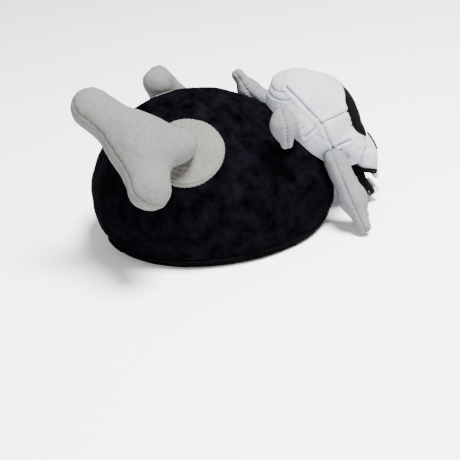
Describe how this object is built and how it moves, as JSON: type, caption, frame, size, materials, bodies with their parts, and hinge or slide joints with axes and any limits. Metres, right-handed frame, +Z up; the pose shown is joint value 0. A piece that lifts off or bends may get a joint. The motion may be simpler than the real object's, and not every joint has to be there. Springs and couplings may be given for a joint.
{
  "type": "pirate hat",
  "caption": "Padded velvet costume cap with a stuffed skull in front, crossbone ends round it and a bone that seems to pass through the head.",
  "frame": {"origin": "centre of the head opening, on the flat plane of the hem", "axes": "+Z up through the crown, -Y towards the wearer's front, where the skull is, +X towards the wearer's left"},
  "size_m": [0.2863, 0.2936, 0.1773],
  "materials": {
    "black_velvet": "matte",
    "black_velvet_band": "matte",
    "black_lining": "satin",
    "black_elastic": "matte",
    "foam": "matte",
    "white_ribbon": "satin",
    "cream_fleece": "matte",
    "white_plush": "matte",
    "white_felt": "matte",
    "black_felt": "matte",
    "fibre_stuffing": "matte"
  },
  "bodies": {
    "cap": {"crown_panel_front_left": "black_velvet", "crown_panel_side_left": "black_velvet", "crown_panel_back_left": "black_velvet", "crown_panel_back_right": "black_velvet", "crown_panel_side_right": "black_velvet", "crown_panel_front_right": "black_velvet", "crown_foam": "foam", "crown_lining": "black_lining", "hem_band": "black_velvet_band", "sweatband": "black_elastic", "care_label": "white_ribbon", "collar_patch_left": "cream_fleece", "collar_patch_right": "cream_fleece", "skull_back_panel": "white_plush", "skull_crown_panel": "white_plush", "skull_cheek_left": "white_plush", "skull_cheek_right": "white_plush", "skull_muzzle_panel": "white_plush", "skull_stuffing": "fibre_stuffing", "eye_patch_left": "black_felt", "eye_patch_right": "black_felt", "nose_patch": "black_felt", "upper_mouth_lining": "black_felt", "upper_teeth": "white_felt"},
    "lower_jaw": {"lower_jaw_shell": "white_plush", "lower_mouth_lining": "black_felt", "lower_teeth": "white_felt"},
    "rear_bone_right": {"rear_bone_right_front_panel": "cream_fleece", "rear_bone_right_back_panel": "cream_fleece", "rear_bone_right_stuffing": "fibre_stuffing"},
    "rear_bone_left": {"rear_bone_left_front_panel": "cream_fleece", "rear_bone_left_back_panel": "cream_fleece", "rear_bone_left_stuffing": "fibre_stuffing"},
    "crossbone_upper_right": {"crossbone_upper_right_outer_panel": "white_plush", "crossbone_upper_right_inner_panel": "white_plush", "crossbone_upper_right_stuffing": "fibre_stuffing"},
    "crossbone_upper_left": {"crossbone_upper_left_outer_panel": "white_plush", "crossbone_upper_left_inner_panel": "white_plush", "crossbone_upper_left_stuffing": "fibre_stuffing"},
    "crossbone_lower_right": {"crossbone_lower_right_outer_panel": "white_plush", "crossbone_lower_right_inner_panel": "white_plush", "crossbone_lower_right_stuffing": "fibre_stuffing"},
    "crossbone_lower_left": {"crossbone_lower_left_outer_panel": "white_plush", "crossbone_lower_left_inner_panel": "white_plush", "crossbone_lower_left_stuffing": "fibre_stuffing"}
  },
  "joints": [
    {"name": "rear_bone_right_flap", "type": "hinge", "parent": "cap", "child": "rear_bone_right", "pos_m": [-0.077, 0.045, 0.12], "axis": [0.7922, -0.1279, 0.5967], "range_deg": [-4, 45], "stiffness_Nm_per_rad": 1.6},
    {"name": "rear_bone_left_flap", "type": "hinge", "parent": "cap", "child": "rear_bone_left", "pos_m": [0.081, 0.03, 0.12], "axis": [-0.6463, -0.694, -0.3173], "range_deg": [-4, 40], "stiffness_Nm_per_rad": 1.6},
    {"name": "crossbone_upper_right_flap", "type": "hinge", "parent": "cap", "child": "crossbone_upper_right", "pos_m": [-0.056, -0.072, 0.106], "axis": [0.4839, -0.132, 0.8651], "range_deg": [-10, 25], "stiffness_Nm_per_rad": 0.16},
    {"name": "crossbone_upper_left_flap", "type": "hinge", "parent": "cap", "child": "crossbone_upper_left", "pos_m": [0.054, -0.074, 0.102], "axis": [0.8289, -0.4024, -0.3886], "range_deg": [-10, 25], "stiffness_Nm_per_rad": 0.16},
    {"name": "crossbone_lower_right_flap", "type": "hinge", "parent": "cap", "child": "crossbone_lower_right", "pos_m": [-0.05, -0.113, 0.06], "axis": [-0.903, 0.0179, 0.4292], "range_deg": [-8, 30], "stiffness_Nm_per_rad": 0.16},
    {"name": "crossbone_lower_left_flap", "type": "hinge", "parent": "cap", "child": "crossbone_lower_left", "pos_m": [0.046, -0.114, 0.058], "axis": [-0.9941, -0.0048, -0.1083], "range_deg": [-8, 30], "stiffness_Nm_per_rad": 0.16},
    {"name": "lower_jaw_flap", "type": "hinge", "parent": "cap", "child": "lower_jaw", "pos_m": [0, -0.12699, 0.0489], "axis": [-1, 0, 0], "range_deg": [-18, 12], "stiffness_Nm_per_rad": 0.12}
  ]
}
